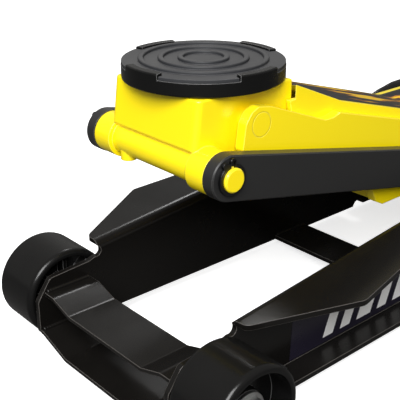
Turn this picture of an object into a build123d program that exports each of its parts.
from build123d import *

import os
from math import cos, radians, sin

# A hydraulic trolley jack, in millimetres. +X points forward, to the saddle end, +Y to the left of a
# person holding the handle, and +Z up from the floor. Heights are above the floor, and "behind"
# distances are measured rearwards from the front wheel axis.

# ---------------------------------------------------------------- driving dimensions
wheel_radius = 39.0
wheel_inner = 87.5  # |Y| of the front wheel's inner face
wheel_width = 48.5
axle_radius = 9.0

web_inner = 80.0  # |Y| of the side plate's inner face
plate = 4.5  # thickness of the side plates
web_outer = web_inner + plate
web_bottom = 14.3
bend_radius = 9.0  # outside radius of the folded top flange
bottom_flange = 25.0

saddle_behind = 72.0
saddle_radius = 60.0
saddle_base = 231.0
cup_height = 12.8

arm_pivot = (440.0, 128.0)  # behind, height
head_pivot = (73.0, 208.0)
link_front = (32.0, 182.0)
link_rear = (
    arm_pivot[0] + link_front[0] - head_pivot[0],
    arm_pivot[1] + link_front[1] - head_pivot[1],
)
arm_inner = 52.0  # |Y| of the arm side plates' inner faces
arm_plate = 8.0
arm_outer = arm_inner + arm_plate
link_inner = 62.5
link_outer = 72.5
link_end_radius = 16.5

ram_height = 72.0
crosshead_behind = 453.0
crosshead_pin_radius = 8.0
slot_play = 1.75  # room for the pin to keep to its straight line in the swinging lever

handle_pivot = (661.0, 119.0)
handle_lean = 80.0  # degrees above the horizontal, leaning rearwards
handle_length = 1000.0
handle_radius = 15.0
cam_arm = 28.0  # from the handle pivot to the centre of the pump cam
cam_radius = 9.0
cam_lag = 27.5  # degrees that the cam stands behind the vertical at rest
plunger_spread = 21.0
plunger_height = 92.5
spindle_slope = 52.0  # degrees of the release spindle's axis above the horizontal

caster_behind = 590.0
caster_spread = 118.0
caster_trail = 14.0
caster_wheel_radius = 24.0

shaft_radius = 10.0  # arm shaft between the side plates
shaft_end_radius = 8.0  # arm shaft through the side plates and its nuts
running = 0.05  # radial clearance of a running fit

grip_radius = 18.0
tail = handle_pivot[0] + handle_length * cos(radians(handle_lean)) + grip_radius * sin(radians(handle_lean))
front_axle_x = (tail - wheel_radius) / 2  # puts the origin under the middle of the jack


# ---------------------------------------------------------------- helpers
def at(behind, height):
    """A point of a side view, as X and Z."""
    return (front_axle_x - behind, height)


def outline(*points):
    """Points of a side view."""
    return [at(*point) for point in points]


def side_plane(y):
    """The side view at Y = y; its extrusions of negative amount run towards +Y."""
    return Plane.XZ.offset(-y)


def level(height):
    """The horizontal plane at a height, with its origin at the front wheel axis."""
    return Plane(origin=(front_axle_x, 0, height), x_dir=(-1, 0, 0), z_dir=(0, 0, 1))


def across(place, radius, y_from, y_to, mode=Mode.ADD):
    """A round bar or hole along Y, centred on a (behind, height) place."""
    with BuildSketch(side_plane(y_from)) as section:
        with Locations(at(*place)):
            Circle(radius)
    extrude(section.sketch, amount=y_from - y_to, mode=mode)


def nut_across(place, radius, y_from, y_to):
    """A hexagon along Y, its radius being that of its corners."""
    with BuildSketch(side_plane(y_from)) as section:
        with Locations(at(*place)):
            RegularPolygon(radius, 6)
    extrude(section.sketch, amount=y_from - y_to)


def slab(profile, y_from, y_to, mode=Mode.ADD):
    """A flat plate with a side-view outline, between two Y values."""
    with BuildSketch(side_plane(y_from)) as section:
        with BuildLine():
            Polyline(*outline(*profile), close=True)
        make_face()
    extrude(section.sketch, amount=y_from - y_to, mode=mode)


def upright(place, radius, z_from, z_to, mode=Mode.ADD):
    """A vertical round bar or hole, centred on a (behind, Y) place."""
    with BuildSketch(level(z_from)) as section:
        with Locations((place[0], -place[1])):
            Circle(radius)
    extrude(section.sketch, amount=z_to - z_from, mode=mode)


def hexagon_upright(place, radius, z_from, z_to):
    """A vertical hexagon, centred on a (behind, Y) place."""
    with BuildSketch(level(z_from)) as section:
        with Locations((place[0], -place[1])):
            RegularPolygon(radius, 6)
    extrude(section.sketch, amount=z_to - z_from)


def ahead(y, height, radius, x_from, x_to, mode=Mode.ADD):
    """A round bar or hole along X, between two distances behind the front wheel axis."""
    plane = Plane(origin=(front_axle_x - x_from, y, height), x_dir=(0, 1, 0), z_dir=(1, 0, 0))
    with BuildSketch(plane) as section:
        Circle(radius)
    extrude(section.sketch, amount=x_from - x_to, mode=mode)


def on_axis(axis_plane, radius, start, stop, mode=Mode.ADD):
    """A round bar or hole along the axis of a plane."""
    with BuildSketch(axis_plane.offset(start)) as section:
        Circle(radius)
    extrude(section.sketch, amount=stop - start, mode=mode)


def save(piece, name):
    piece.part.label = name
    export_step(piece.part, f"parts/{name}.step")


def save_pair(left, name):
    """Writes a left-hand piece and its mirror image."""
    save(left, f"{name}_left")
    with BuildPart() as right:
        mirror(left.part, about=Plane.XZ)
    save(right, f"{name}_right")


def both_sides(piece):
    """Adds the mirror image of what the active part holds."""
    mirror(piece.part, about=Plane.XZ)


os.makedirs("parts", exist_ok=True)

# ---------------------------------------------------------------- frame: side plates
top_line = ((26.0, 79.0), (290.0, 105.0), (405.0, 136.5), (430.0, 140.8), (495.0, 142.5), (650.0, 136.0))
flange_plan = (
    (26.0, 70.0),
    (26.0, 96.0),
    (105.8, 136.5),
    (290.0, 109.0),
    (380.0, 90.0),
    (650.0, 90.0),
    (650.0, 70.0),
)
caster_zone = ((540.0, 54.0), (500.0, web_bottom))
cover_bolts_at = ((520.0, 128.0), (585.0, 123.5))
block_bolts_at = ((619.0, 63.0), (619.0, 79.0))
frame_bolts_at = (*cover_bolts_at, *block_bolts_at)
bolt_radius = 4.0


def top_flange():
    """The outward flange: a strip along the top line, cut to its outline as seen from above."""
    with BuildPart() as strip:
        with BuildSketch(side_plane(web_inner)):
            with BuildLine():
                FilletPolyline(*outline(*top_line), radius=40)
            trace(line_width=plate)
        extrude(amount=-70)
        with BuildSketch(level(0)) as plan:
            with BuildLine():
                Polyline(*[(behind, -y) for behind, y in flange_plan], close=True)
            make_face()
            corners = plan.vertices().filter_by(lambda v: v.X < 110 and v.Y < -90)
            fillet(corners, radius=8)
        extrude(amount=200, mode=Mode.INTERSECT)
    return strip.part


with BuildPart() as side_plate:
    with BuildSketch(side_plane(web_inner)) as web:
        with BuildLine():
            upper = FilletPolyline(*outline(*top_line), radius=40)
            rear_arc = ((672.0, 133.0), (683.0, 117.0), (683.0, 70.0), (676.0, 54.0))
            front = ((-34.5, web_bottom), (-34.5, 46.0), (-22.0, 64.0), (16.0, 66.5), (26.0, 70.0))
            Polyline(upper @ 1, *outline(*rear_arc, *caster_zone, *front), upper @ 0)
        make_face()
        toe = web.vertices().sort_by(Axis.X, reverse=True)[:4]
        fillet(toe, radius=6)
    extrude(amount=-plate)
    add(top_flange())
    inner_face = side_plate.faces().filter_by(Axis.Y).sort_by(Axis.Y)[0]
    top_edges = [e for e in inner_face.edges() if e.center().Z > 81 and e.center().X > front_axle_x - 650]
    fillet(top_edges, radius=bend_radius)
    across((24.0, 73.0), 4.6, web_inner - 5, web_outer + 20, mode=Mode.SUBTRACT)
    with BuildSketch(level(web_bottom)) as foot:
        with BuildLine():
            Polyline(
                (54.0, -web_inner - 1),
                (54.0, -web_outer - 8),
                (66.0, -web_inner - bottom_flange),
                (478.0, -web_inner - bottom_flange),
                (500.0, -web_inner - 1),
                close=True,
            )
        make_face()
    extrude(amount=plate)
    across((0.0, wheel_radius), axle_radius, web_inner - 1, web_outer + 1, mode=Mode.SUBTRACT)
    across(arm_pivot, shaft_end_radius, web_inner - 1, web_outer + 1, mode=Mode.SUBTRACT)
    across(link_rear, 6.0, web_inner - 1, web_outer + 1, mode=Mode.SUBTRACT)
    across(handle_pivot, 6.0, web_inner - 1, web_outer + 1, mode=Mode.SUBTRACT)
    across((374.0, 12.0), 9.0, web_inner - 1, web_outer + 26, mode=Mode.SUBTRACT)
    for place in frame_bolts_at:
        across(place, bolt_radius, web_inner - 1, web_outer + 1, mode=Mode.SUBTRACT)
save_pair(side_plate, "side_plate")

# ---------------------------------------------------------------- frame: plates across
def cross_plate(path, thickness, behind_front, behind_rear):
    """A pressed plate across the frame; its front view follows a path of (Y, height) points."""
    front_view = Plane(origin=(front_axle_x - behind_rear, 0, 0), x_dir=(0, 1, 0), z_dir=(1, 0, 0))
    with BuildPart() as member:
        with BuildSketch(front_view):
            with BuildLine():
                FilletPolyline(*path, radius=8)
            trace(line_width=thickness)
        extrude(amount=behind_rear - behind_front)
    return member


def dish(edge_height, middle_height, edge_start, middle_start):
    """The front view of a plate that sinks towards the middle of the frame."""
    right = ((-web_inner, edge_height), (-edge_start, edge_height), (-middle_start, middle_height))
    return right + tuple((-y, height) for y, height in reversed(right))


save(cross_plate(dish(51.4, 44.3, 68.0, 46.0), 3.0, -28.0, 16.0), "front_cross_plate")
save(cross_plate(dish(18.5, 8.0, 77.0, 46.0), 3.0, -34.0, 18.0), "skid_plate")

with BuildPart() as mid_cross_plate:
    slab(((241.5, 14.3), (284.7, 14.3), (284.7, 18.3), (241.5, 18.3)), -web_inner, web_inner)
save(mid_cross_plate, "mid_cross_plate")

with BuildPart() as rear_cover_plate:
    slab(((504.0, 142.0), (600.0, 134.5), (600.0, 131.5), (504.0, 139.0)), -79.7, 79.7)
    slab(((504.0, 140.0), (600.0, 132.5), (600.0, 116.0), (504.0, 120.0)), 76.7, 79.7)
    both_sides(rear_cover_plate)
    for place in cover_bolts_at:
        across(place, bolt_radius, -80, 80, mode=Mode.SUBTRACT)
save(rear_cover_plate, "rear_cover_plate")

with BuildPart() as frame_bolts:
    for place in frame_bolts_at:
        across(place, bolt_radius, 66, web_outer)
        nut_across(place, 7.4, web_outer, web_outer + 5)
    both_sides(frame_bolts)
save(frame_bolts, "frame_bolts")

# ---------------------------------------------------------------- front wheels
wheel_outer = wheel_inner + wheel_width
hub_outer = wheel_outer - 12.0
front_wheel_axis = (0.0, wheel_radius)


def wheel_axis(behind, height):
    """The line along Y that a wheel turns about."""
    return Axis((front_axle_x - behind, 0, height), (0, 1, 0))


def wheel_section(behind, height):
    """The plane of a wheel's half section: local x along Y, local y upwards from its axis."""
    return Plane(origin=(front_axle_x - behind, 0, height), x_dir=(0, 1, 0), z_dir=(1, 0, 0))


with BuildPart() as front_wheel:
    with BuildSketch(wheel_section(*front_wheel_axis)) as half:
        with BuildLine():
            Polyline(
                (wheel_inner + 1.0, axle_radius + running),
                (wheel_inner + 1.0, 15.5),
                (wheel_inner + 14.0, 16.5),
                (wheel_inner + 14.0, 31.5),
                (wheel_inner, 33.0),
                (wheel_inner, wheel_radius),
                (wheel_outer, wheel_radius),
                (wheel_outer, 33.0),
                (hub_outer - 6.0, 31.0),
                (hub_outer - 6.0, 16.5),
                (hub_outer, 15.5),
                (hub_outer, axle_radius + running),
                close=True,
            )
        make_face()
        fillet(half.vertices().filter_by(lambda v: v.Y > wheel_radius - 0.1), radius=4.5)
        fillet(half.vertices().filter_by(lambda v: 32.9 < v.Y < 33.1), radius=1.0)
    revolve(axis=wheel_axis(*front_wheel_axis))
    with BuildSketch(side_plane(wheel_inner + 5.0)):
        with Locations(at(*front_wheel_axis)):
            with PolarLocations(23.5, 8):
                Rectangle(17.0, 3.5)
    extrude(amount=-9.5)
save_pair(front_wheel, "front_wheel")

with BuildPart() as front_axles:
    across(front_wheel_axis, axle_radius, web_inner, hub_outer + 0.4)
    across(front_wheel_axis, 13.0, web_outer, wheel_inner + 0.6)
    across(front_wheel_axis, 7.0, hub_outer, hub_outer + 10.0)
    both_sides(front_axles)
save(front_axles, "front_axles")

with BuildPart() as front_axle_nuts:
    across(front_wheel_axis, 15.0, hub_outer + 0.4, hub_outer + 2.4)
    nut_across(front_wheel_axis, 12.5, hub_outer + 2.4, hub_outer + 8.5)
    across(front_wheel_axis, 7.0, hub_outer, hub_outer + 12, mode=Mode.SUBTRACT)
    both_sides(front_axle_nuts)
save(front_axle_nuts, "front_axle_nuts")

# ---------------------------------------------------------------- rear casters
caster_post = (caster_behind, caster_spread)
caster_axis = (caster_behind + caster_trail, caster_wheel_radius)
cheek_gap = 12.5
cheek = 3.0
fork_top = 60.0
mount_base = 64.3
mount_plate = 6.0

with BuildPart() as caster_mount:
    with BuildSketch(level(mount_base)) as seat:
        with BuildLine():
            Polyline(
                (556, -web_outer),
                (556, -128),
                (564, -136),
                (600, -136),
                (608, -128),
                (608, -web_outer),
                close=True,
            )
        make_face()
    extrude(amount=mount_plate)
    for rib_behind in (558.0, 602.0):
        rib_view = Plane(origin=(front_axle_x - rib_behind, 0, 0), x_dir=(0, 1, 0), z_dir=(-1, 0, 0))
        with BuildSketch(rib_view):
            with BuildLine():
                Polyline((web_outer, -70), (web_outer, -92), (122, -70), close=True)
            make_face()
        extrude(amount=4)
    upright(caster_post, 6.0, 60, 80, mode=Mode.SUBTRACT)
save_pair(caster_mount, "caster_mount")

with BuildPart() as swivel_bolt:
    hexagon_upright(caster_post, 9.0, 50.5, 55.7)
    upright(caster_post, 6.0, 55.7, 80.0)
    both_sides(swivel_bolt)
save(swivel_bolt, "caster_swivel_bolts")

with BuildPart() as thrust_washers:
    upright(caster_post, 14.0, fork_top + 0.3, mount_base)
    upright(caster_post, 6.05, fork_top, mount_base + 1, mode=Mode.SUBTRACT)
    both_sides(thrust_washers)
save(thrust_washers, "caster_thrust_washers")

with BuildPart() as caster_fork:
    fork_side = (
        (573.0, fork_top),
        (607.0, fork_top),
        (613.5, 26.0),
        (610.5, 18.0),
        (604.0, 15.0),
        (597.0, 18.0),
    )
    fork_half = cheek_gap + cheek
    slab(fork_side, caster_spread - fork_half, caster_spread + fork_half)
    slab(
        ((560, fork_top - 4), (630, fork_top - 4), (630, 0), (560, 0)),
        caster_spread - cheek_gap,
        caster_spread + cheek_gap,
        mode=Mode.SUBTRACT,
    )
    upright(caster_post, 6.0 + running, 50, 70, mode=Mode.SUBTRACT)
    across(caster_axis, 5.0, 90, 150, mode=Mode.SUBTRACT)
save_pair(caster_fork, "caster_fork")

with BuildPart() as caster_axle:
    across(caster_axis, 5.0, caster_spread - fork_half - 2, caster_spread + fork_half)
    nut_across(caster_axis, 8.0, caster_spread + fork_half, caster_spread + fork_half + 3)
    nut_across(caster_axis, 8.0, caster_spread - fork_half - 4, caster_spread - fork_half)
save_pair(caster_axle, "caster_axle")

with BuildPart() as caster_wheel:
    with BuildSketch(wheel_section(*caster_axis)) as half:
        with BuildLine():
            Polyline(
                (caster_spread - 12.0, 5.0 + running),
                (caster_spread - 12.0, 9.0),
                (caster_spread - 7.0, 9.5),
                (caster_spread - 7.0, 18.5),
                (caster_spread - 11.0, 19.5),
                (caster_spread - 11.0, caster_wheel_radius),
                (caster_spread + 11.0, caster_wheel_radius),
                (caster_spread + 11.0, 19.5),
                (caster_spread + 7.0, 18.5),
                (caster_spread + 7.0, 9.5),
                (caster_spread + 12.0, 9.0),
                (caster_spread + 12.0, 5.0 + running),
                close=True,
            )
        make_face()
        fillet(half.vertices().filter_by(lambda v: v.Y > caster_wheel_radius - 0.1), radius=3)
    revolve(axis=wheel_axis(*caster_axis))
save_pair(caster_wheel, "caster_wheel")

# ---------------------------------------------------------------- lifting arm
lever_lag = 12.95  # degrees that the crosshead pin stands behind the arm pivot at rest
slot_reach = 60.25  # from the arm pivot to the middle of the lever's slot
slot_middle = (
    arm_pivot[0] + slot_reach * sin(radians(lever_lag)),
    arm_pivot[1] - slot_reach * cos(radians(lever_lag)),
)
arm_outline = (
    (55.0, 190.0),
    (58.0, 211.0),
    (63.5, 218.5),
    (70.0, 221.5),
    (82.5, 219.2),
    (100.0, 212.5),
    (141.0, 196.8),
    (150.0, 196.8),
    (158.0, 199.0),
    (325.0, 152.5),
    (345.0, 149.0),
    (440.0, 149.0),
    (464.0, 128.0),
    (492.0, 66.0),
    (482.0, 44.0),
    (440.0, 44.0),
    (395.0, 74.0),
    (250.0, 105.0),
    (222.0, 105.0),
    (213.0, 109.5),
    (205.0, 124.0),
    (198.0, 159.0),
)

with BuildPart() as arm_side_plate:
    with BuildSketch(side_plane(arm_inner)) as side:
        with BuildLine():
            Polyline(*outline(*arm_outline), close=True)
        make_face()
        fillet(side.vertices().sort_by(Axis.X, reverse=True)[:5], radius=4.5)
        with Locations(at(*arm_pivot)):
            Circle(24.0)
            Circle(14.0, mode=Mode.SUBTRACT)
        with Locations(at(*head_pivot)):
            Circle(9.0, mode=Mode.SUBTRACT)
        with Locations(at(*slot_middle)):
            SlotCenterToCenter(
                10.0, 2 * (crosshead_pin_radius + slot_play), rotation=-90 - lever_lag, mode=Mode.SUBTRACT
            )
    extrude(amount=-arm_plate)
save_pair(arm_side_plate, "arm_side_plate")

saddle_room = saddle_radius + 7.5  # radius of the cover's cut-out around the saddle
cover_line = ((108.0, 227.9), (168.0, 202.5), (328.0, 157.0), (350.0, 150.5), (420.0, 150.5))
with BuildPart() as arm_top_plate:
    with BuildSketch(side_plane(-arm_inner)):
        with BuildLine():
            FilletPolyline(*outline(*cover_line), radius=30)
        trace(line_width=4.0)
    extrude(amount=-2 * arm_inner)
    upright((saddle_behind, 0), saddle_room, 180, 240, mode=Mode.SUBTRACT)
    skirt = (*cover_line[:4], (350.0, 138.0), (168.0, 184.0), (112.0, 204.0))
    slab(skirt, arm_inner - 4.0, arm_inner)
    slab(skirt, -arm_inner, 4.0 - arm_inner)
    upright((saddle_behind, 0), saddle_room, 216, 240, mode=Mode.SUBTRACT)
save(arm_top_plate, "arm_top_plate")

with BuildPart() as arm_lower_brace:
    slab(((212, 155), (217, 155), (225, 112), (240, 112), (240, 107), (220, 107)), -arm_inner, arm_inner)
save(arm_lower_brace, "arm_lower_brace")

with BuildPart() as arm_bushes:
    across(arm_pivot, 14.0, 50.0, 61.5)
    across(arm_pivot, shaft_radius + running, 49.0, 63.0, mode=Mode.SUBTRACT)
    both_sides(arm_bushes)
save(arm_bushes, "arm_bushes")

with BuildPart() as head_pins:
    across(head_pivot, 9.0, 25.0, arm_outer)
    both_sides(head_pins)
save(head_pins, "head_pins")

with BuildPart() as arm_shaft:
    across(arm_pivot, shaft_radius, -web_inner, web_inner)
    across(arm_pivot, shaft_end_radius, -web_outer - 10, web_outer + 10)
save(arm_shaft, "arm_shaft")

with BuildPart() as arm_shaft_nuts:
    nut_across(arm_pivot, 11.5, web_outer, web_outer + 9)
    across(arm_pivot, shaft_end_radius, web_outer, web_outer + 9, mode=Mode.SUBTRACT)
    both_sides(arm_shaft_nuts)
save(arm_shaft_nuts, "arm_shaft_nuts")

with BuildPart() as arm_spacers:
    across(arm_pivot, 15.0, 61.9, web_inner)
    across(arm_pivot, shaft_radius, 61.9, web_inner, mode=Mode.SUBTRACT)
    both_sides(arm_spacers)
save(arm_spacers, "arm_spacers")

# ---------------------------------------------------------------- links
with BuildPart() as link_bar:
    with BuildSketch(side_plane(link_inner)) as bar:
        with Locations(at(*link_front), at(*link_rear)):
            Circle(link_end_radius)
        make_hull()
        with Locations(at(*link_front)):
            Circle(8.9, mode=Mode.SUBTRACT)
        with Locations(at(*link_rear)):
            Circle(8.0 + running, mode=Mode.SUBTRACT)
    extrude(amount=link_inner - link_outer)
    chamfer(link_bar.faces().filter_by(Axis.Y).sort_by(Axis.Y)[-1].outer_wire().edges(), length=0.8)
save_pair(link_bar, "link")

with BuildPart() as link_rear_pins:
    across(link_rear, 12.0, 60.5, 62.2)
    across(link_rear, 8.0, 62.2, 73.0)
    across(link_rear, 11.0, 73.0, web_inner)
    across(link_rear, 6.0, web_inner, web_outer + 9)
    both_sides(link_rear_pins)
save(link_rear_pins, "link_rear_pins")

with BuildPart() as frame_nuts:
    nut_across(link_rear, 10.0, web_outer, web_outer + 7)
    across(link_rear, 6.0, web_outer, web_outer + 7, mode=Mode.SUBTRACT)
    hexagon_upright(caster_post, 10.0, mount_base + mount_plate, mount_base + mount_plate + 7)
    upright(caster_post, 6.0, 60, 90, mode=Mode.SUBTRACT)
    both_sides(frame_nuts)
save(frame_nuts, "frame_nuts")

# ---------------------------------------------------------------- head
head_half = 47.0
stem_radius = 15.0
casting_lug = (27.0, -34.0)  # a stub left by the casting under the link shaft
head_outline = (
    (26.0, 230.6),
    (21.5, 196.0),
    (30.0, 188.0),
    (60.0, 186.0),
    (90.0, 188.0),
    (113.0, 209.0),
    (116.0, 214.0),
    (116.0, 230.6),
)
head_pocket = ((31.0, 219.0), (28.0, 200.0), (44.0, 180.0), (76.0, 180.0), (106.0, 208.0), (106.0, 219.0))
with BuildPart() as head_casting:
    slab(head_outline, -head_half, head_half)
    uprights = head_casting.edges().filter_by(lambda e: abs(e.tangent_at(0.5).Z) > 0.9)
    fillet(uprights.sort_by(Axis.X, reverse=True)[:2], radius=5)
    fillet(head_casting.faces().sort_by(Axis.Z)[-1].edges(), radius=1.5)
    slab(head_pocket, -38, 38, mode=Mode.SUBTRACT)
    upright((saddle_behind, 0), 24.0, 197, 222)
    across(head_pivot, 16.0, 22, 40)
    across(head_pivot, 16.0, -40, -22)
    across(link_front, 12.5, -46, 46)
    across(link_front, 16.0, 44, 62)
    across(link_front, 16.0, -62, -44)
    upright(casting_lug, 6.0, 168, 178)
    upright((saddle_behind, 0), stem_radius + running, 190, 232, mode=Mode.SUBTRACT)
    across(head_pivot, 9.0 + running, 24.7, 70, mode=Mode.SUBTRACT)
    across(head_pivot, 9.0 + running, -70, -24.7, mode=Mode.SUBTRACT)
    across(link_front, 8.75, -70, 70, mode=Mode.SUBTRACT)
save(head_casting, "head_casting")

ring_inner, ring_outer = 73.0, 75.0
with BuildPart() as link_shaft:
    across(link_front, 8.75, -77.5, 77.5)
    for start in (ring_inner, -ring_outer):
        across(link_front, 12.0, start, start + 2, mode=Mode.SUBTRACT)
        across(link_front, 8.0, start, start + 2)
    chamfer(link_shaft.faces().filter_by(Axis.Y).sort_by(Axis.Y)[-1].edges(), length=1)
    chamfer(link_shaft.faces().filter_by(Axis.Y).sort_by(Axis.Y)[0].edges(), length=1)
save(link_shaft, "link_shaft")

with BuildPart() as snap_rings:
    with BuildSketch(side_plane(ring_inner)) as ring:
        with Locations(at(*link_front)):
            Circle(11.6)
            with PolarLocations(12.6, 2, start_angle=60, angular_range=64):
                Circle(2.6)
            Circle(8.0, mode=Mode.SUBTRACT)
            with PolarLocations(10.0, 1, start_angle=92):
                Rectangle(7.0, 4.0, mode=Mode.SUBTRACT)
    extrude(amount=ring_inner - ring_outer)
    both_sides(snap_rings)
save(snap_rings, "snap_rings")

# ---------------------------------------------------------------- saddle
saddle_top = saddle_base + cup_height
pad_top = saddle_top
rim_inner = saddle_radius - 6.0
notch_floor = saddle_base + 10.3
notch_angle = 56.0


def rim_sector(angle, radius):
    """A sector of the saddle as seen from above, centred on each of the four diagonals."""
    with BuildSketch() as sector:
        with BuildLine():
            start = Line((0, 0), PolarLocations(radius, 1, start_angle=-angle / 2).locations[0].position)
            CenterArc((0, 0), radius, -angle / 2, angle)
            Line(start @ 0, PolarLocations(radius, 1, start_angle=angle / 2).locations[0].position)
        make_face()
    return sector.sketch


def saddle_level(height):
    """A horizontal plane with its origin on the saddle's axis."""
    return Plane(origin=(front_axle_x - saddle_behind, 0, height))


with BuildPart() as saddle_cup:
    upright((saddle_behind, 0), saddle_radius, saddle_base, saddle_top + 1.7)
    fillet(saddle_cup.edges().group_by(Axis.Z)[0], radius=1.5)
    fillet(saddle_cup.edges().group_by(Axis.Z)[-1], radius=1.2)
    upright((saddle_behind, 0), rim_inner, saddle_base + 5, saddle_top + 5, mode=Mode.SUBTRACT)
    with BuildSketch(saddle_level(notch_floor)):
        with PolarLocations(0, 4, start_angle=45):
            add(rim_sector(notch_angle, saddle_radius + 10))
    extrude(amount=20, mode=Mode.SUBTRACT)
    upright((saddle_behind, 0), stem_radius, 198, saddle_base + 1)
    upright((saddle_behind, 0), 4.0, 190, 222, mode=Mode.SUBTRACT)
save(saddle_cup, "saddle_cup")

with BuildPart() as saddle_pad:
    upright((saddle_behind, 0), rim_inner - 0.1, saddle_base + 5, pad_top)
    with BuildSketch(saddle_level(notch_floor + 0.1)):
        with PolarLocations(0, 4, start_angle=45):
            add(rim_sector(notch_angle - 2, saddle_radius - 0.3))
    extrude(amount=pad_top - notch_floor - 0.1)
    with BuildSketch(saddle_level(pad_top - 0.5)):
        for share in (0.76, 0.52, 0.28):
            Circle(share * saddle_radius + 2.1)
            Circle(share * saddle_radius - 2.1, mode=Mode.SUBTRACT)
    extrude(amount=2.7)
    fillet(saddle_pad.edges().group_by(Axis.Z)[-1], radius=0.9)
save(saddle_pad, "saddle_pad")

with BuildPart() as saddle_screw:
    upright((saddle_behind, 0), 18.0, 193.7, 196.7)
    upright((saddle_behind, 0), 4.0, 196.7, 216)
    hexagon_upright((saddle_behind, 0), 7.0, 189, 193.7)
save(saddle_screw, "saddle_screw")

# ---------------------------------------------------------------- power unit
block_front, block_rear = 582.0, 628.0
bore_radius = 16.0
rod_radius = 11.0
spindle_radius = 6.0
plungers_at = (plunger_spread, -plunger_spread)
spring_spread = 45.0
spring_anchor_behind = 590.0
plunger_tail = handle_pivot[0] + cam_arm * sin(radians(cam_lag)) - cam_radius - 0.4
plunger_head = 3.0
seat_depth = 6.0

handle_axis = Plane(
    origin=(front_axle_x - handle_pivot[0], 0, handle_pivot[1]),
    x_dir=(0, 1, 0),
    z_dir=(-cos(radians(handle_lean)), 0, sin(radians(handle_lean))),
)
spindle_axis = Plane(
    origin=handle_axis.origin,
    x_dir=(0, 1, 0),
    z_dir=(cos(radians(spindle_slope)), 0, -sin(radians(spindle_slope))),
)

with BuildPart() as valve_block:
    slab(((block_front, 38), (block_rear, 38), (block_rear, 108), (block_front, 108)), -38, 38)
    fillet(valve_block.edges().filter_by(Axis.Z), radius=4)
    slab(((608, 55), (block_rear, 55), (block_rear, 87), (608, 87)), -79.8, 79.8)
    on_axis(spindle_axis, 11.0, 36, 62)
    on_axis(spindle_axis, spindle_radius + running, 30, 73, mode=Mode.SUBTRACT)
    for y in plungers_at:
        ahead(y, plunger_height, 6.0 + running, block_rear + 1, 586.0, mode=Mode.SUBTRACT)
        ahead(y, plunger_height, 9.5, block_rear + 1, block_rear - seat_depth, mode=Mode.SUBTRACT)
    upright((604.0, 0), 6.0, 98, 110, mode=Mode.SUBTRACT)
    for place in block_bolts_at:
        across(place, bolt_radius, 66, 80, mode=Mode.SUBTRACT)
        across(place, bolt_radius, -80, -66, mode=Mode.SUBTRACT)
    across((spring_anchor_behind, ram_height), 4.0, -51, 51)
save(valve_block, "valve_block")

with BuildPart() as hydraulic_cylinder:
    ahead(0, ram_height, 20.0, block_front, 488.0)
    ahead(0, ram_height, bore_radius, block_front, 488.0, mode=Mode.SUBTRACT)
save(hydraulic_cylinder, "hydraulic_cylinder")

with BuildPart() as cylinder_gland:
    ahead(0, ram_height, bore_radius, 500.0, 488.0)
    ahead(0, ram_height, 20.0, 488.0, 485.5)
    ahead(0, ram_height, rod_radius + running, 501.0, 485.0, mode=Mode.SUBTRACT)
save(cylinder_gland, "cylinder_gland")

with BuildPart() as oil_reservoir:
    ahead(0, ram_height, 33.5, block_front, 500.0)
    ahead(0, ram_height, 31.0, block_front, 504.0, mode=Mode.SUBTRACT)
    ahead(0, ram_height, 20.0, 505.0, 499.0, mode=Mode.SUBTRACT)
save(oil_reservoir, "oil_reservoir")

with BuildPart() as filler_plug:
    upright((604.0, 0), 6.0, 98.5, 108)
    hexagon_upright((604.0, 0), 9.0, 108, 113)
save(filler_plug, "filler_plug")

with BuildPart() as ram_rod:
    ahead(0, ram_height, rod_radius, 560.0, 462.2)
    ahead(0, ram_height, bore_radius - running, 560.0, 546.0)
save(ram_rod, "ram_rod")

with BuildPart() as crosshead:
    slab(((439, 58), (467, 58), (467, 86), (439, 86)), -32, 32)
    chamfer(crosshead.edges().filter_by(Axis.Y), length=3)
    ahead(0, ram_height, rod_radius, 468.0, 462.2, mode=Mode.SUBTRACT)
    across((crosshead_behind, ram_height), crosshead_pin_radius, -40, 40, mode=Mode.SUBTRACT)
save(crosshead, "crosshead")

with BuildPart() as crosshead_pin:
    across((crosshead_behind, ram_height), crosshead_pin_radius, -61.5, 61.5)
save(crosshead_pin, "crosshead_pin")

with BuildPart() as return_springs:
    coil_front = crosshead_behind + 13.0
    coil_rear = spring_anchor_behind - 9.0
    front_hook = (coil_front + 0.5, crosshead_behind + 8.3)
    rear_hook = (spring_anchor_behind - 4.3, coil_rear - 0.5)
    ahead(spring_spread, ram_height, 6.0, coil_rear, coil_front)
    ahead(spring_spread, ram_height, 4.4, coil_rear + 1, coil_front - 1, mode=Mode.SUBTRACT)
    for start, stop in (front_hook, rear_hook):
        ahead(spring_spread, ram_height + 5.2, 0.8, start, stop)
        ahead(spring_spread, ram_height - 5.2, 0.8, start, stop)
    both_sides(return_springs)
save(return_springs, "return_springs")

with BuildPart() as pump_plungers:
    for y in plungers_at:
        ahead(y, plunger_height, 9.0, plunger_tail, plunger_tail - plunger_head)
        ahead(y, plunger_height, 6.0, plunger_tail, 613.0)
save(pump_plungers, "pump_plungers")

with BuildPart() as plunger_springs:
    for y in plungers_at:
        ahead(y, plunger_height, 8.3, plunger_tail - plunger_head - 0.1, block_rear - seat_depth + 0.1)
        ahead(y, plunger_height, 7.0, plunger_tail, block_rear - seat_depth, mode=Mode.SUBTRACT)
save(plunger_springs, "plunger_springs")

# ---------------------------------------------------------------- release valve drive
ball_radius = 7.0
dog_radius = 2.0
with BuildPart() as release_spindle:
    on_axis(spindle_axis, 10.0, -3, 14)
    on_axis(spindle_axis, spindle_radius, 14, 72)
    with Locations(spindle_axis.origin):
        Sphere(ball_radius + 0.3, mode=Mode.SUBTRACT)
    on_axis(spindle_axis, ball_radius + 0.3, -4, 0, mode=Mode.SUBTRACT)
    with BuildSketch(spindle_axis.offset(-4)):
        Rectangle(24, 2 * dog_radius + 1.2)
    extrude(amount=10.8, mode=Mode.SUBTRACT)
save(release_spindle, "release_spindle")

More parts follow.
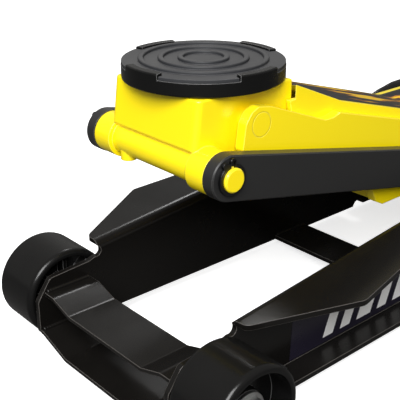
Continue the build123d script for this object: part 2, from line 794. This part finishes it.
tube_wall = 3.0
tube_bore = handle_radius - tube_wall
drive_from, drive_to = 62.0, 94.0
joint_at = 540.0
spigot_from = 480.0
groove_at = 150.0
with BuildPart() as release_drive:
    with Locations(handle_axis.origin):
        Sphere(ball_radius)
    on_axis(handle_axis, 4.5, 0, drive_from + 1)
    on_axis(handle_axis, tube_bore, drive_from + 0.5, drive_to)
    across(handle_pivot, dog_radius, -8.5, 8.5)
save(release_drive, "release_drive")

# ---------------------------------------------------------------- handle
def handle_point(along, rearwards):
    """A side-view place beside the handle's axis, as behind and height."""
    lean = radians(handle_lean)
    return (
        handle_pivot[0] + along * cos(lean) + rearwards * sin(lean),
        handle_pivot[1] + along * sin(lean) - rearwards * cos(lean),
    )


cam_centre = (
    handle_pivot[0] + cam_arm * sin(radians(cam_lag)),
    handle_pivot[1] - cam_arm * cos(radians(cam_lag)),
)
sleeve_from, sleeve_to = 42.0, 190.0
cheek_inner, cheek_outer = 15.0, 27.0


def socket_cheek():
    """One cheek of the socket, from the sleeve past the pivot to the pump cam."""
    with BuildPart() as side_cheek:
        with BuildSketch(side_plane(cheek_inner)):
            with Locations(at(handle_pivot[0] + 10.0, handle_pivot[1])):
                Circle(6.0)
            with Locations(at(*cam_centre)):
                Circle(cam_radius)
            make_hull()
        extrude(amount=cheek_inner - cheek_outer)
        with BuildSketch(side_plane(cheek_inner)):
            with Locations(at(*handle_pivot)):
                Circle(14.0)
            with Locations(at(*handle_point(56.0, 0.0))):
                Circle(19.0)
            make_hull()
        extrude(amount=cheek_inner - cheek_outer)
    return side_cheek.part


with BuildPart() as handle_socket:
    cheek_part = socket_cheek()
    add(cheek_part)
    mirror(cheek_part, about=Plane.XZ)
    on_axis(handle_axis, 27.5, sleeve_from, 74.0)
    on_axis(handle_axis, 21.0, 74.0, sleeve_to)
    on_axis(handle_axis, 24.0, sleeve_to - 8, sleeve_to)
    across(handle_pivot, 12.0, cheek_outer - 1, 79.6)
    across(handle_pivot, 12.0, -79.6, 1 - cheek_outer)
    on_axis(handle_axis, handle_radius + running, sleeve_from - 20, sleeve_to + 1, mode=Mode.SUBTRACT)
    across(handle_pivot, 6.0 + running, 40, 90, mode=Mode.SUBTRACT)
    across(handle_pivot, 6.0 + running, -90, -40, mode=Mode.SUBTRACT)
    screw_axis = Plane(
        origin=handle_axis.offset(groove_at).origin, x_dir=(0, 1, 0), z_dir=handle_axis.y_dir
    )
    on_axis(screw_axis, 9.0, 15.0, 26.0)
    on_axis(handle_axis, handle_radius + running, groove_at - 12, groove_at + 12, mode=Mode.SUBTRACT)
    on_axis(screw_axis, 4.0, 10.0, 30.0, mode=Mode.SUBTRACT)
save(handle_socket, "handle_socket")

with BuildPart() as handle_screw:
    on_axis(screw_axis, 4.0, 13.9, 30.0)
    on_axis(screw_axis, 11.0, 29.0, 37.0)
    chamfer(handle_screw.faces().sort_by(Axis.X)[0].edges(), length=1.2)
save(handle_screw, "handle_retaining_screw")

with BuildPart() as socket_pivot_bolts:
    across(handle_pivot, 6.0, 46.0, web_outer)
    nut_across(handle_pivot, 10.5, web_outer, web_outer + 7)
    both_sides(socket_pivot_bolts)
save(socket_pivot_bolts, "socket_pivot_bolts")

button_at = 510.0
button_axis = Plane(origin=handle_axis.offset(button_at).origin, x_dir=(0, 1, 0), z_dir=handle_axis.y_dir)
with BuildPart() as handle_lower_tube:
    on_axis(handle_axis, handle_radius, drive_from, joint_at)
    on_axis(handle_axis, tube_bore, drive_from - 1, joint_at + 1, mode=Mode.SUBTRACT)
    on_axis(handle_axis, handle_radius + 1, groove_at - 5, groove_at + 5, mode=Mode.SUBTRACT)
    on_axis(handle_axis, handle_radius - 1.4, groove_at - 5.5, groove_at + 5.5)
    on_axis(handle_axis, tube_bore, groove_at - 6, groove_at + 6, mode=Mode.SUBTRACT)
    on_axis(button_axis, 4.0, 5.0, 20.0, mode=Mode.SUBTRACT)
save(handle_lower_tube, "handle_lower_tube")

with BuildPart() as handle_upper_tube:
    on_axis(handle_axis, handle_radius, joint_at, handle_length - 10)
    on_axis(handle_axis, tube_bore - 0.02, spigot_from, joint_at)
    on_axis(handle_axis, tube_bore - 3, spigot_from - 1, joint_at + 20, mode=Mode.SUBTRACT)
    on_axis(handle_axis, tube_bore, joint_at + 15, handle_length, mode=Mode.SUBTRACT)
save(handle_upper_tube, "handle_upper_tube")

with BuildPart() as joint_button:
    on_axis(button_axis, 3.95, tube_bore + 0.1, 17.0)
    fillet(joint_button.faces().sort_by(Axis.X)[0].edges(), radius=1.5)
save(joint_button, "handle_joint_button")

with BuildPart() as handle_grip:
    on_axis(handle_axis, grip_radius, handle_length - 220, handle_length)
    fillet(handle_grip.faces().sort_by(Axis.Z)[-1].edges(), radius=5)
    on_axis(handle_axis, handle_radius, handle_length - 221, handle_length - 9.8, mode=Mode.SUBTRACT)
save(handle_grip, "handle_grip")

print("length behind the front wheel axis", round(tail, 1), "origin behind it", round(front_axle_x, 1))
